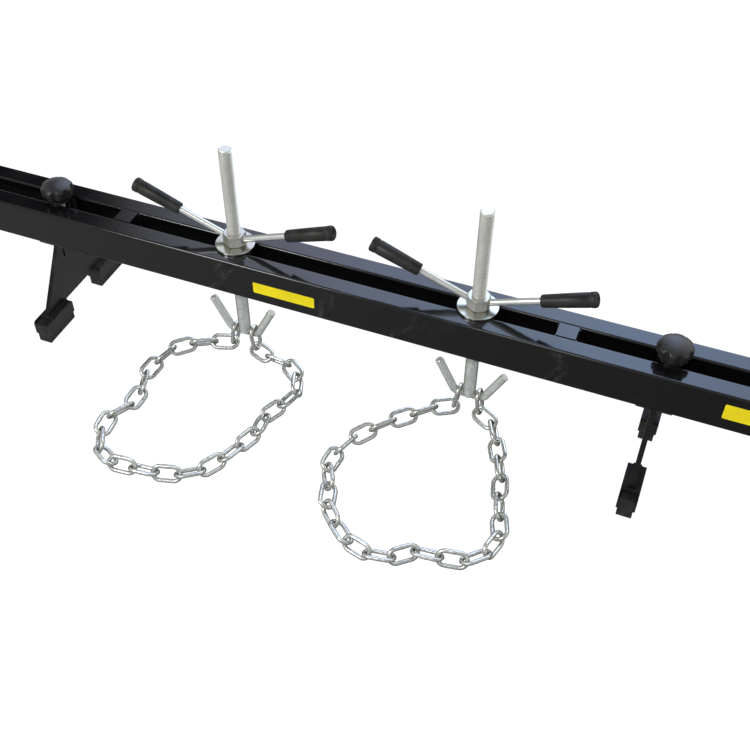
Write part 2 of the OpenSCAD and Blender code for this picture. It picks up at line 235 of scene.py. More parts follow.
def noise(tree, scale, detail=3.0, rough=0.5, place=None):
    """A noise value about 0.5 over the surface, or over another place."""
    return add(tree, "ShaderNodeTexNoise", {
        "Vector": place or surface_place(tree), "Scale": scale, "Detail": detail,
        "Roughness": rough}).outputs[0]


def ramp(tree, value, low, high, to_low=0.0, to_high=1.0):
    """A value eased from one range to another."""
    return add(tree, "ShaderNodeMapRange",
               {"Value": value, "From Min": low, "From Max": high, "To Min": to_low,
                "To Max": to_high}, interpolation_type="SMOOTHSTEP").outputs[0]


def new_texture(name, sizes, build, results=("Mask",)):
    """A shader group. build works its results out from its sizes."""
    tree, given, end = new_tree(name, "ShaderNodeTree", sizes, dict.fromkeys(results, "Float"))
    for label, value in zip(results, build(tree, given.outputs)):
        tree.links.new(value, end.inputs[label])
    return tree


def peel_texture(tree, size):
    """Sprayed and baked paint: broad soft dimples with fine nibs in them."""
    dimples = noise(tree, size["Dimple scale"], 2.0, 0.4)
    nibs = ramp(tree, noise(tree, size["Nib scale"], 1.0), 0.62, 0.8)
    return [times_plus(tree, nibs, 0.35, dimples)]


def handling_texture(tree, size):
    """Smudges from hands and storage: a cloudy mask with soft, uneven edges."""
    cloud = noise(tree, size["Cloud scale"], 4.0, 0.55)
    fine = noise(tree, size["Fine scale"], 5.0, 0.6)
    both = times_plus(tree, fine, 0.35, times(tree, cloud, 0.65))
    low = minus(tree, 0.78, times(tree, size["Spread"], 0.5))
    return [ramp(tree, both, low, plus(tree, low, 0.16))]


def scratch_texture(tree, size):
    """Fine scratches in two crossing runs, broken up along their length."""
    runs = []
    for turn, pull in ((0.35, 0.05), (-0.9, 0.07)):
        turned = add(tree, "ShaderNodeMapping", {
            "Vector": surface_place(tree), "Rotation": (turn, turn * 0.7, turn),
            "Scale": (pull, 1.0, 1.0)})
        lines = noise(tree, size["Line scale"], 1.0, 0.3, turned.outputs[0])
        near = sum_up(tree, "ABSOLUTE", minus(tree, lines, 0.5))
        runs.append(ramp(tree, near, 0.012, 0.0))
    patches = ramp(tree, noise(tree, size["Patch scale"], 3.0), 0.5, 0.68)
    return [times(tree, sum_up(tree, "MAXIMUM", *runs), patches)]


def upward_texture(tree, size):
    """How far a face of the piece looks up. The finishes use it for painted shade on such faces,
    and the leg paint also for lighter, rougher tops.
    """
    height = split(tree, add(tree, "ShaderNodeTexCoord").outputs["Normal"])[2]
    return [ramp(tree, height, size["Low"], size["High"])]


def dust_texture(tree, size):
    """Dust that settles on what faces up, thinner where it was brushed off."""
    height = split(tree, add(tree, "ShaderNodeNewGeometry").outputs["Normal"])[2]
    up = ramp(tree, height, 0.2, 0.95)
    drift = ramp(tree, noise(tree, size["Drift scale"], 4.0), 0.42, 0.7)
    specks = ramp(tree, noise(tree, size["Speck scale"], 2.0), 0.5, 0.8)
    return [times(tree, up, times_plus(tree, drift, 0.5, specks))]


def grain_texture(tree, size):
    """The fine grain of moulded plastic, rubber or plating, with a broad unevenness."""
    fine = noise(tree, size["Grain scale"], 4.0, 0.6)
    broad = noise(tree, size["Broad scale"], 3.0, 0.5)
    return [times_plus(tree, broad, size["Broad share"], fine), ramp(tree, broad, 0.35, 0.65)]


def drawn_texture(tree, size):
    """The marks of drawing or rolling, which run along one axis of the piece."""
    pull = vector(tree, size["Along x"], size["Along y"], size["Along z"])
    pulled = add(tree, "ShaderNodeVectorMath", {0: surface_place(tree), 1: pull},
                 operation="MULTIPLY").outputs[0]
    return [noise(tree, size["Line scale"], 3.0, 0.6, pulled)]


orange_peel = new_texture("orange_peel", {"Dimple scale": 300.0, "Nib scale": 1600.0},
                          peel_texture, ("Height",))
handling = new_texture("handling", {"Cloud scale": 18.0, "Fine scale": 140.0, "Spread": 0.5},
                       handling_texture)
scratches = new_texture("scratches", {"Line scale": 260.0, "Patch scale": 22.0},
                        scratch_texture)
settled_dust = new_texture("settled_dust", {"Speck scale": 900.0, "Drift scale": 26.0},
                           dust_texture)
upward = new_texture("upward", {"Low": 0.35, "High": 0.9}, upward_texture)
grain = new_texture("grain", {"Grain scale": 1200.0, "Broad scale": 60.0, "Broad share": 0.4},
                    grain_texture, ("Height", "Tone"))
drawn_lines = new_texture(
    "drawn_lines", {"Along x": 1.0, "Along y": 1.0, "Along z": 1.0, "Line scale": 500.0},
    drawn_texture, ("Height",))


# Finishes

def socket_name(label):
    """A shader socket's own name, from the way this script writes it."""
    return label.replace("_", " ").title().replace("Ior", "IOR")


def new_finish(name, **constants):
    """A material with its Principled shader's constant sockets set."""
    material = bpy.data.materials.new(name)
    material.use_nodes = True
    tree = material.node_tree
    shader = tree.nodes["Principled BSDF"]
    for label, value in constants.items():
        shader.inputs[socket_name(label)].default_value = value
    return material, tree, shader


def effect(tree, group, result="Mask", **sizes):
    """One of the shared textures in a material, with this finish's own values."""
    node = add(tree, "ShaderNodeGroup", node_tree=group)
    for label, value in sizes.items():
        node.inputs[label.replace("_", " ").capitalize()].default_value = value
    return node.outputs[result]


def hand_marks(tree, cloud, fine, spread=0.5):
    """The marks of handling, with their clouds and fine parts at these scales."""
    return effect(tree, handling, cloud_scale=cloud, fine_scale=fine, spread=spread)


def mix_colour(tree, mask, a, b):
    """Colour a where the mask is 0, b where it is 1."""
    return add(tree, "ShaderNodeMix", {0: mask, 6: a, 7: b}, data_type="RGBA").outputs[2]


def mix_value(tree, mask, a, b):
    """Value a where the mask is 0, b where it is 1."""
    return add(tree, "ShaderNodeMix", {0: mask, 2: a, 3: b}, data_type="FLOAT").outputs[0]


def emboss(tree, shader, height, strength, distance):
    """A height feeds the shader's normal."""
    bump = add(tree, "ShaderNodeBump",
               {"Height": height, "Strength": strength, "Distance": distance})
    tree.links.new(bump.outputs[0], shader.inputs["Normal"])


def feed(tree, shader, **sockets):
    """Links values that vary over the surface to the shader."""
    for label, socket in sockets.items():
        tree.links.new(socket, shader.inputs[socket_name(label)])


def grey(value, blue=1.0):
    """An opaque neutral colour, a little blue where asked."""
    return (value, value, value * blue, 1.0)


def make_rail_paint():
    """Gloss black stoving paint on the rails: near mirror-like, with faint handling marks."""
    material, tree, shader = new_finish("gloss_black_paint", ior=1.5)
    marks = hand_marks(tree, 9.0, 70.0, 0.42)
    lines = effect(tree, scratches, line_scale=190.0, patch_scale=9.0)
    dust = effect(tree, settled_dust, speck_scale=1100.0, drift_scale=14.0)
    base = mix_colour(tree, marks, grey(0.0035, 1.15), grey(0.0075, 1.1))
    base = mix_colour(tree, times(tree, dust, 0.018), base, grey(0.42))
    rough = times_plus(tree, lines, 0.16, mix_value(tree, marks, 0.085, 0.17))
    feed(tree, shader, base_color=base, roughness=rough)
    emboss(tree, shader, effect(tree, orange_peel, "Height", dimple_scale=230.0, nib_scale=1500.0),
           0.10, 0.0002)
    return material


def make_leg_paint():
    """Satin black paint on the legs and shoes, a little thicker and duller."""
    material, tree, shader = new_finish("satin_black_paint", ior=1.5,
                                        specular_tint=(1.0, 0.97, 0.95, 1.0))
    marks = hand_marks(tree, 30.0, 190.0)
    lines = effect(tree, scratches, line_scale=330.0, patch_scale=30.0)
    dust = effect(tree, settled_dust, speck_scale=1300.0, drift_scale=45.0)
    base = mix_colour(tree, marks, grey(0.006, 1.05), grey(0.011, 1.0))
    base = mix_colour(tree, times(tree, dust, 0.06), base, grey(0.4))
    base = mix_colour(tree, times(tree, lines, 0.5), base, grey(0.09))
    up = effect(tree, upward, low=0.05, high=0.55)
    # Faces that look up are made lighter and browner, more so under handling marks
    lighter_up_faces = times(tree, up, times_plus(tree, marks, 0.7, 0.15))
    base = mix_colour(tree, lighter_up_faces, base, (0.050, 0.045, 0.038, 1.0))
    rough = times_plus(tree, up, 0.2, mix_value(tree, marks, 0.3, 0.42))
    # Painted shade: faces that look up reflect far less, so they read dark
    feed(tree, shader, base_color=base, roughness=rough,
         specular_ior_level=mix_value(tree, up, 0.85, 0.06))
    emboss(tree, shader, effect(tree, orange_peel, "Height", dimple_scale=420.0, nib_scale=1900.0),
           0.22, 0.0002)
    return material


def plate(tone, blue):
    """The slightly green grey of zinc plate."""
    return (tone * 0.98, tone, tone * blue, 1.0)


def make_zinc(name, tone, blue, rough, pull, lines_depth, cloud=60.0, bright=1.0, streaked=0.3,
              top_shade_share=0.5):
    """Zinc plate over steel: clouds from the bath, marks of working, bright or satin, with painted
    shade on faces that look up and on edges seen edge-on.
    """
    material, tree, shader = new_finish(name, metallic=bright,
                                        specular_tint=plate(0.4, blue * 0.75))
    clouds = effect(tree, grain, "Tone", grain_scale=2400.0, broad_scale=cloud, broad_share=0.5)
    marks = hand_marks(tree, cloud, cloud * 6.0)
    lines = effect(tree, scratches, line_scale=700.0, patch_scale=70.0)
    worked = effect(tree, drawn_lines, "Height", along_x=pull[0], along_y=pull[1], along_z=pull[2],
                    line_scale=900.0)
    base = mix_colour(tree, clouds, plate(tone * 0.9, blue), plate(tone, blue))
    base = mix_colour(tree, times(tree, marks, 0.55), base, plate(tone * 0.78, blue * 0.95))
    streaks = ramp(tree, worked, 0.35, 0.65, streaked, 0.0)
    base = mix_colour(tree, streaks, base, plate(tone * 0.6, blue))
    # Painted shade: faces that look up are darkened towards a warm dark grey, by this finish's
    # share
    film = times(tree, effect(tree, upward), top_shade_share)
    base = mix_colour(tree, film, base, (0.38, 0.36, 0.285, 1.0))
    # Painted shade: the plate's colour darkens towards edges seen edge-on, drawing dark outlines
    grazing_shade = add(tree, "ShaderNodeLayerWeight", {"Blend": 0.5}).outputs["Facing"]
    grazing_shade = ramp(tree, grazing_shade, 0.38, 0.85, 0.0, 0.88)
    base = mix_colour(tree, grazing_shade, base, plate(0.15, blue * 0.68))
    level = times_plus(tree, lines, 0.12, mix_value(tree, marks, rough, rough + 0.13))
    feed(tree, shader, base_color=base, roughness=level)
    pits = effect(tree, grain, "Height", grain_scale=2600.0, broad_scale=240.0, broad_share=0.6)
    emboss(tree, shader, plus(tree, worked, pits), lines_depth, 0.0001)
    return material


def make_moulding(name, dark, light, rough, grain_scale, depth, dusty=0.03, shaded_up_gloss=0.3,
                  sheen=1.0):
    """A moulded black plastic or rubber: fine grain, tone that drifts, a trace of dust, and painted
    shade on faces that look up.
    """
    material, tree, shader = new_finish(name, specular_tint=(1.0, (1 + sheen) / 2, sheen, 1.0))
    tone = effect(tree, grain, "Tone", grain_scale=grain_scale, broad_scale=70.0, broad_share=0.3)
    marks = hand_marks(tree, 55.0, 300.0, 0.45)
    dust = effect(tree, settled_dust, speck_scale=1700.0, drift_scale=90.0)
    base = mix_colour(tree, tone, dark, light)
    base = mix_colour(tree, times(tree, dust, dusty), base, grey(0.5))
    up = effect(tree, upward)
    # Painted shade: faces that look up reflect less, down to the given gloss
    feed(tree, shader, base_color=base, roughness=mix_value(tree, marks, rough, rough + 0.12),
         specular_ior_level=mix_value(tree, up, 0.5, shaded_up_gloss))
    height = effect(tree, grain, "Height", grain_scale=grain_scale, broad_scale=160.0,
                    broad_share=0.5)
    emboss(tree, shader, height, depth, 0.00012)
    return material


def make_brass():
    """Turned brass of the knobs' bushes, a little tarnished."""
    material, tree, shader = new_finish("turned_brass", metallic=1.0)
    marks = hand_marks(tree, 120.0, 500.0, 0.6)
    base = mix_colour(tree, marks, (0.78, 0.57, 0.27, 1), (0.45, 0.33, 0.18, 1))
    feed(tree, shader, base_color=base, roughness=mix_value(tree, marks, 0.25, 0.4))
    turned = effect(tree, drawn_lines, "Height", along_x=0.1, along_y=0.1, along_z=2.0,
                    line_scale=1400.0)
    emboss(tree, shader, turned, 0.2, 0.0001)
    return material


def make_label():
    """Yellow film of a bare label: even ink, a faint weave of the film, soft soiling."""
    material, tree, shader = new_finish("yellow_film", ior=1.3)
    marks = hand_marks(tree, 60.0, 420.0)
    tone = effect(tree, grain, "Tone", grain_scale=2200.0, broad_scale=35.0, broad_share=0.3)
    base = mix_colour(tree, tone, (0.80, 0.64, 0.001, 1), (0.87, 0.73, 0.002, 1))
    base = mix_colour(tree, times(tree, marks, 0.3), base, (0.60, 0.47, 0.006, 1))
    feed(tree, shader, base_color=base, roughness=mix_value(tree, marks, 0.28, 0.42))
    height = effect(tree, grain, "Height", grain_scale=3200.0, broad_scale=200.0, broad_share=0.3)
    emboss(tree, shader, height, 0.08, 0.0001)
    return material


rail_paint = make_rail_paint()
leg_paint = make_leg_paint()
washer_zinc = make_zinc("polished_zinc", tone=0.72, blue=0.97, rough=0.24,
                        pull=(1.0, 1.0, 0.2), lines_depth=0.08, cloud=40.0, top_shade_share=0.7)
nut_zinc = make_zinc("milled_nut_zinc", tone=0.80, blue=0.98, rough=0.34, pull=(1.0, 1.0, 0.2),
                     lines_depth=0.12, bright=0.7)
bar_zinc = make_zinc("drawn_bar_zinc", tone=0.92, blue=0.97, rough=0.30, pull=(0.08, 1.0, 1.0),
                     lines_depth=0.14, bright=0.75)
hook_zinc = make_zinc("satin_hook_zinc", tone=0.88, blue=0.94, rough=0.40, pull=(0.2, 1.0, 0.2),
                      lines_depth=0.30, cloud=35.0, bright=0.55, streaked=0.65)
thread_zinc = make_zinc("rolled_thread_zinc", tone=0.95, blue=0.96, rough=0.42,
                        pull=(1.0, 1.0, 0.3), lines_depth=0.12, cloud=45.0, bright=0.6,
                        streaked=0.2, top_shade_share=0.4)
chain_zinc = make_zinc("chain_zinc", tone=0.83, blue=0.96, rough=0.27, pull=(0.4, 0.4, 0.4),
                       lines_depth=0.06, cloud=90.0, bright=0.85, streaked=0.35, top_shade_share=0.3)
weld_zinc = make_zinc("plated_weld_zinc", tone=0.56, blue=0.98, rough=0.42, pull=(1.0, 1.0, 1.0),
                      lines_depth=0.30, cloud=220.0, bright=0.6, top_shade_share=0.8)
knob_plastic = make_moulding("knob_plastic", grey(0.010, 1.02), grey(0.015, 1.02), rough=0.38,
                             grain_scale=1500.0, depth=0.10, dusty=0.02, shaded_up_gloss=0.38,
                             sheen=0.84)
grip_vinyl = make_moulding("grip_vinyl", (0.011, 0.0105, 0.009, 1), (0.021, 0.020, 0.017, 1),
                           rough=0.40, grain_scale=1000.0, depth=0.22, shaded_up_gloss=0.12)
cap_plastic = make_moulding("cap_plastic", grey(0.012), grey(0.019), rough=0.45,
                            grain_scale=1300.0, depth=0.25)
foot_rubber = make_moulding("foot_rubber", (0.010, 0.010, 0.0085, 1), (0.020, 0.020, 0.017, 1),
                            rough=0.62, grain_scale=900.0, depth=0.45, dusty=0.02, shaded_up_gloss=0.05)
bush_brass = make_brass()
label_film = make_label()


# The solids' looks

def finish_solids():
    """Each solid that stays gets its finish in place of the plain one."""
    chosen = {"black_paint": rail_paint, "leg_paint": leg_paint, "zinc": bar_zinc,
              "thread_zinc": thread_zinc, "chain_zinc": chain_zinc, "knob_plastic": knob_plastic,
              "grip_plastic": grip_vinyl, "cap_plastic": cap_plastic, "rubber": foot_rubber,
              "brass": bush_brass}
    special = {"washer": washer_zinc, "nut": nut_zinc, "hook": hook_zinc}
    for part in frame["record"]["subparts"]:
        own = part["node"].partition("_")[2]
        finish = special.get(own, chosen[part["material_slot"]])
        solid = solids[part["node"]]
        if not solid.material_slots:
            solid.data.materials.append(finish)
        for slot in solid.material_slots:
            slot.material = finish


# Rolled threads

def flat_strip(tree, last, sides):
    """A strip to roll up about Z: its mesh, and each point's row, turn and angle."""
    strip = add(tree, "GeometryNodeMeshGrid", {
        "Size X": 1.0, "Size Y": 1.0, "Vertices X": plus(tree, last, 1.0),
        "Vertices Y": plus(tree, sides, 1.0)}).outputs["Mesh"]
    where = split(tree, add(tree, "GeometryNodeInputPosition").outputs[0])
    row = sum_up(tree, "ROUND", times(tree, plus(tree, where[0], 0.5), last))
    around = plus(tree, where[1], 0.5)
    return strip, row, around, times(tree, around, 2 * math.pi)


def roll_up(tree, strip, radius, angle, height):
    """The strip with its points at their radius, angle and height, and its seam closed."""
    place = vector(tree, times(tree, radius, sum_up(tree, "COSINE", angle)),
                   times(tree, radius, sum_up(tree, "SINE", angle)), height)
    rolled = add(tree, "GeometryNodeSetPosition", {"Geometry": strip, "Position": place})
    return add(tree, "GeometryNodeMergeByDistance",
               {"Geometry": rolled.outputs[0], "Distance": 2e-6}).outputs[0]


def stand_on(tree, guide, piece, **turned):
    """A copy of a piece on each point of the guide."""
    points = add(tree, "GeometryNodeMeshToPoints", {"Mesh": guide}).outputs[0]
    stood = add(tree, "GeometryNodeInstanceOnPoints",
                {"Points": points, "Instance": piece, **turned})
    return add(tree, "GeometryNodeRealizeInstances", {0: stood.outputs[0]}).outputs[0]


def make_rolled_thread():
    """A screw thread as one helical strip, chamfered and closed at both ends."""
    tree, given, end = new_shaper("rolled_thread", {
        "Foot": 0.0, "Top": 0.1, "Radius": 0.008, "Depth": 0.0012, "Pitch": 0.002,
        "Chamfer": 0.0015, "Sides": 24})
    size = given.outputs
    turns = sum_up(tree, "DIVIDE", minus(tree, size["Top"], size["Foot"]), size["Pitch"])
    last = times(tree, sum_up(tree, "CEIL", plus(tree, turns, 2.0)), 4.0)
    strip, row, around, angle = flat_strip(tree, last, size["Sides"])
    # Each turn has four rows: two lie on the root and two close together on the crest
    phase = sum_up(tree, "MODULO", row, 4.0)
    crest = sum_up(tree, "GREATER_THAN", phase, 1.5)
    pinch = times(tree, crest, times(tree, minus(tree, 2.5, phase), 0.5))
    rows_up = sum_up(tree, "DIVIDE", plus(tree, row, pinch), 4.0)
    raw = times_plus(tree, plus(tree, minus(tree, around, 1.0), rows_up), size["Pitch"],
                     size["Foot"])
    height = sum_up(tree, "MINIMUM", sum_up(tree, "MAXIMUM", raw, size["Foot"]), size["Top"])
    root = minus(tree, size["Radius"], size["Depth"])
    inside = times(tree, sum_up(tree, "LESS_THAN", raw, size["Top"]),
                   sum_up(tree, "GREATER_THAN", raw, size["Foot"]))
    raised = times_plus(tree, times(tree, crest, inside), size["Depth"], root)
    lip = minus(tree, size["Radius"], size["Chamfer"])
    room = sum_up(tree, "MINIMUM", minus(tree, size["Top"], height),
                  minus(tree, height, size["Foot"]))
    radius = sum_up(tree, "MINIMUM", raised, plus(tree, lip, room))
    # The first and the last row close the ends at the middle
    open_row = times(tree, sum_up(tree, "GREATER_THAN", row, 0.5),
                     sum_up(tree, "LESS_THAN", row, minus(tree, last, 0.5)))
    wound = roll_up(tree, strip, times(tree, radius, open_row), angle, height)
    return end_shaper(tree, given, end, stand_on(tree, size["Guide"], wound), 40.0)


# Turned mouldings

def make_turned_piece():
    """A profile turned about Z, with soft hollows between lobes where there are any."""
    tree, given, end = new_shaper("turned_piece", {
        "Sides": 48, "Lobes": 0, "Lobe reach": 1.0, "Hollow": 0.0, "Softness": 0.0})
    size = given.outputs
    count = add(tree, "GeometryNodeAttributeDomainSize", {0: size["Guide"]})
    last = minus(tree, count.outputs["Point Count"], 1.0)
    strip, row, _, angle = flat_strip(tree, last, size["Sides"])
    sample = add(tree, "GeometryNodeSampleIndex", {
        "Geometry": size["Guide"], "Value": add(tree, "GeometryNodeInputPosition").outputs[0],
        "Index": row}, data_type="FLOAT_VECTOR", domain="POINT").outputs[0]
    drawn = split(tree, sample)
    wave = sum_up(tree, "COSINE", times(tree, angle, size["Lobes"]))
    dip = sum_up(tree, "POWER", times_plus(tree, wave, -0.5, 0.5), 1.5)
    reach = minus(tree, size["Lobe reach"], times(tree, dip, size["Hollow"]))
    radius = sum_up(tree, "SMOOTH_MIN", drawn[0], reach, size["Softness"])
    radius = times(tree, radius, sum_up(tree, "GREATER_THAN", drawn[0], 1e-6))
    return end_shaper(tree, given, end, roll_up(tree, strip, radius, angle, drawn[2]), 50.0)


# Weld beads

def make_weld_bead():
    """Weld metal laid along lines, in overlapping ripples."""
    tree, given, end = new_shaper("weld_bead", {
        "Bead radius": 0.002, "Ripple": 0.0016, "Unevenness": 0.12, "Seed": 3})
    size = given.outputs
    path = add(tree, "GeometryNodeMeshToCurve", {"Mesh": size["Guide"]}).outputs[0]
    step = sum_up(tree, "DIVIDE", size["Ripple"], 4.0)
    path = add(tree, "GeometryNodeResampleCurve", {"Curve": path, "Length": step},
               mode="LENGTH").outputs[0]
    travel = add(tree, "GeometryNodeSplineParameter").outputs["Length"]
    beat = sum_up(tree, "FRACT", sum_up(tree, "DIVIDE", travel, size["Ripple"]))
    scale = times_plus(tree, sum_up(tree, "POWER", beat, 0.6), 0.28, 0.76)
    wander = add(tree, "ShaderNodeTexNoise", {"W": times(tree, size["Seed"], 1.7), "Scale": 170.0},
                 noise_dimensions="4D").outputs[0]
    uneven = times(tree, minus(tree, wander, 0.5), size["Unevenness"])
    path = add(tree, "GeometryNodeSetCurveRadius",
               {"Curve": path, "Radius": plus(tree, scale, uneven)}).outputs[0]
    return end_shaper(tree, given, end, sweep(tree, path, size["Bead radius"], 10), 60.0)


def sweep(tree, path, radius, sides):
    """A closed round bar along a path, whose own radius scales it."""
    ring = add(tree, "GeometryNodeCurvePrimitiveCircle",
               {"Resolution": sides, "Radius": radius}, mode="RADIUS").outputs[0]
    own = add(tree, "GeometryNodeInputRadius").outputs[0]
    return add(tree, "GeometryNodeCurveToMesh", {
        "Curve": path, "Profile Curve": ring, "Scale": own, "Fill Caps": True}).outputs[0]


# Welded chain

def make_welded_links():
    """A link of round wire, butt welded in one side, stood on each guide point."""
    tree, given, end = new_shaper("welded_links", {
        "Wire": 5 * MM, "Outer length": 38.5 * MM, "Outer width": 22.5 * MM,
        "Weld swell": 0.10, "Weld half": 2.4 * MM})
    size = given.outputs
    length = minus(tree, size["Outer length"], size["Wire"])
    width = minus(tree, size["Outer width"], size["Wire"])
    bent = add(tree, "GeometryNodeCurvePrimitiveQuadrilateral",
               {"Width": length, "Height": width}, mode="RECTANGLE").outputs[0]
    bent = add(tree, "GeometryNodeFilletCurve",
               {"Curve": bent, "Radius": times(tree, width, 0.4999), "Count": 10},
               mode="POLY").outputs[0]
    bent = add(tree, "GeometryNodeResampleCurve", {"Curve": bent, "Count": 56},
               mode="COUNT").outputs[0]
    where = split(tree, add(tree, "GeometryNodeInputPosition").outputs[0])
    off = sum_up(tree, "DIVIDE", sum_up(tree, "ABSOLUTE", where[0]), size["Weld half"])
    on_weld = times(tree, sum_up(tree, "GREATER_THAN", where[1], 0.0),
                    sum_up(tree, "MAXIMUM", minus(tree, 1.0, off), 0.0))
    swell = times_plus(tree, sum_up(tree, "POWER", on_weld, 0.5), size["Weld swell"], 1.0)
    bent = add(tree, "GeometryNodeSetCurveRadius", {"Curve": bent, "Radius": swell}).outputs[0]
    link = sweep(tree, bent, sum_up(tree, "DIVIDE", size["Wire"], 2.0), 14)
    run, face = (add(tree, "GeometryNodeInputNamedAttribute", {"Name": name},
                     data_type="FLOAT_VECTOR").outputs[0] for name in ("run", "face"))
    turn = add(tree, "FunctionNodeAxesToRotation", {"Primary Axis": run, "Secondary Axis": face},
               primary_axis="X", secondary_axis="Z").outputs[0]
    return end_shaper(tree, given, end, stand_on(tree, size["Guide"], link, Rotation=turn), 60.0)


def links_of(node):
    """Where each separate link of a solid lies: its middle, its run and its face."""
    points, corners = mesh_arrays(solids[node].data)
    unique, back = np.unique(np.round(points, 7), axis=0, return_inverse=True)
    corners = back.ravel()[corners]
    # Each point takes the lowest number that it can reach over its triangles
    island = np.arange(len(unique))
    while True:
        low = island[corners].min(axis=1)
        before = island.copy()
        for k in range(3):
            np.minimum.at(island, corners[:, k], low)
        island = island[island]
        if (before == island).all():
            break
    found = []
    for label in np.unique(island[corners[:, 0]]):
        own = unique[island == label]
        middle = (own.min(axis=0) + own.max(axis=0)) / 2
        spread = own - own.mean(axis=0)
        _, axes = np.linalg.eigh(spread.T @ spread)
        found.append((middle, axes[:, 2], axes[:, 0]))
    return found


# Pieces

# Where the rods' thread ends above their plain shank
THREAD_FOOT = -80 * MM
# The handle bars' slope, their height on the nut and where the grips start on them
HANDLE_SLOPE = math.radians(20)
HANDLE_HEIGHT = 8 * MM
GRIP_START = 62 * MM
# A hair less than a shoe's two walls, so that the rubber presses into them
SHOE_WALLS = 2 * 1.95 * MM
# A spacer's face further out than this lies at the rails' open ends, without a weld
RAIL_END = 745 * MM
# Runs of weld along Y in millimetres: beside the leg plate's slits, and on its shoes
SADDLE_RUNS = ((-21.5, -19.0), (-13.5, 13.5), (19.0, 21.5))
SHOE_RUNS = ((-72.0, -36.0), (36.0, 72.0))


def section(node):
    """Lowest and highest corner of a solid, as two vectors."""
    low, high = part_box(node)
    return Vector(low), Vector(high)


def run_points(start, end, count=12):
    """Points along a straight line."""
    return [start.lerp(end, i / (count - 1)) for i in range(count)]


def arc(x, z, radius, low, high, count=6):
    """Points of a profile round a corner, from one angle to another in degrees."""
    turns = [math.radians(low + (high - low) * i / count) for i in range(count + 1)]
    return [(x + radius * math.cos(turn), z + radius * math.sin(turn)) for turn in turns]


def profile_mesh(profile):
    """A turned piece's half section in millimetres as a guide in the XZ plane."""
    points = [(x * MM, 0.0, z * MM) for x, z in profile]
    return guide_mesh(points, polyline(points))


def dress_screw(side, thread, bead, turned):
    """The rod over its hook, threaded above its plain shank, and the weld at its foot."""
    low, high = section(side + "_screw")
    x, foot = (low.x + high.x) / 2, low.z
    radius = (high.x - low.x) / 2
    wound = shape(side + "_thread", guide_mesh([(x, 0.0, 0.0)]), thread, thread_zinc, {
        "Foot": THREAD_FOOT - 1 * MM, "Top": high.z, "Radius": radius, "Depth": 1.15 * MM,
        "Pitch": 2 * MM, "Chamfer": 1.5 * MM, "Sides": 28})
    waist = radius / MM - 0.12
    half = [(0.0, foot / MM), (waist, foot / MM), (waist, THREAD_FOOT / MM),
            (0.0, THREAD_FOOT / MM)]
    shank = shape(side + "_shank", profile_mesh(half), turned, thread_zinc, {})
    shank.data.transform(Matrix.Translation((x, 0, 0)))
    rod = merge(side + "_threaded_rod", [wound, shank], [thread_zinc, hook_zinc])
    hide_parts(side + "_screw")
    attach(rod, side + "_lifting_screw")

    # The weld follows the curve on which the hook's round bar meets the rod
    hook_low, hook_high = section(side + "_hook")
    bar = (hook_high.y - hook_low.y) / 2
    lines = [[Vector((x + way * math.sqrt(radius ** 2 - y ** 2), -y * 1.02, z))
              for y, z in arc(0, foot + 0.2 * MM, bar, 0, 180, 16)] for way in (-1, 1)]
    joint = shape(side + "_hook_weld", lines_mesh(lines), bead, weld_zinc, {
        "Bead radius": 1.7 * MM, "Ripple": 1.5 * MM, "Unevenness": 0.2, "Seed": 5})
    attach(joint, side + "_lifting_screw")


def dress_nut(side, bead, turned):
    """The grips on the handle bars, and the welds round the bars on the nut."""
    low, high = section(side + "_nut")
    x, flat = (low.x + high.x) / 2, (high.x - low.x) / 2
    handle_z = low.z + HANDLE_HEIGHT
    turns = [2 * math.pi * i / 28 for i in range(28)]
    rings = [[Vector((x + way * (flat + 0.4 * MM), 4.3 * MM * math.cos(turn),
                      handle_z + 4.6 * MM * math.sin(turn))) for turn in turns]
             for way in (-1, 1)]
    joint = shape(side + "_handle_welds", lines_mesh(rings, True), bead, weld_zinc, {
        "Bead radius": 1.3 * MM, "Ripple": 1.4 * MM, "Unevenness": 0.25, "Seed": 9})
    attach(joint, side + "_lifting_nut")

    length, radius = 63.0, 9.0
    half = [(0.0, 1.0), (4.2, 1.0), (4.4, 0.2)] + arc(radius - 2.9, 1.2, 1.2, -90, 0, 4)
    half += [(radius - dip, z) for dip, z in (
        (1.6, 2.4), (1.5, 5.0), (0.9, 28.0), (0.45, 53.0), (0.95, 53.5), (0.95, 54.4), (0.3, 54.9))]
    half += arc(radius - 3.1, length - 3.2, 3.1, 0, 84, 8)
    half += [(2.9, length - 0.1), (2.3, length - 0.5), (2.0, length - 1.6), (0.0, length - 1.8)]
    plain = shape(side + "_grip_form", profile_mesh(half), turned, grip_vinyl, {})
    pair = []
    for turn in (0, math.pi):
        grip = new_object("grip", plain.data.copy())
        grip.data.transform(Matrix.Translation((x, 0, handle_z)) @ Matrix.Rotation(turn, 4, "Z")
                            @ Matrix.Translation((flat, 0, 0))
                            @ Matrix.Rotation(math.pi / 2 - HANDLE_SLOPE, 4, "Y")
                            @ Matrix.Translation((0, 0, GRIP_START)))
        pair.append(grip)
    bpy.data.objects.remove(plain)
    grips = merge(side + "_hand_grips", pair, [grip_vinyl] * 2)
    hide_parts(side + "_grips")
    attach(grips, side + "_lifting_nut")


def merge(name, parts, finishes):
    """Several objects as one piece, each with its finish."""
    for part, finish in zip(parts, finishes):
        part.data.materials.clear()
        part.data.materials.append(finish)
    piece = parts[0]
    with bpy.context.temp_override(active_object=piece, object=piece, selected_objects=parts,
                                   selected_editable_objects=parts):
        bpy.ops.object.join()
    piece.name = piece.data.name = name
    return piece


def dress_chain(side, links):
    """The loop on the floor and the two links on the hook."""
    for node, body, name in ((side + "_chain_loop", side + "_chain", side + "_floor_chain"),
                             (side + "_chain_ends", side + "_hanging_links", side + "_hook_links")):
        found = links_of(node)
        guide = guide_mesh([m for m, _, _ in found], run=[r for _, r, _ in found],
                           face=[f for _, _, f in found])
        chain = shape(name, guide, links, chain_zinc, {})
        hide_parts(node)
        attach(chain, body)


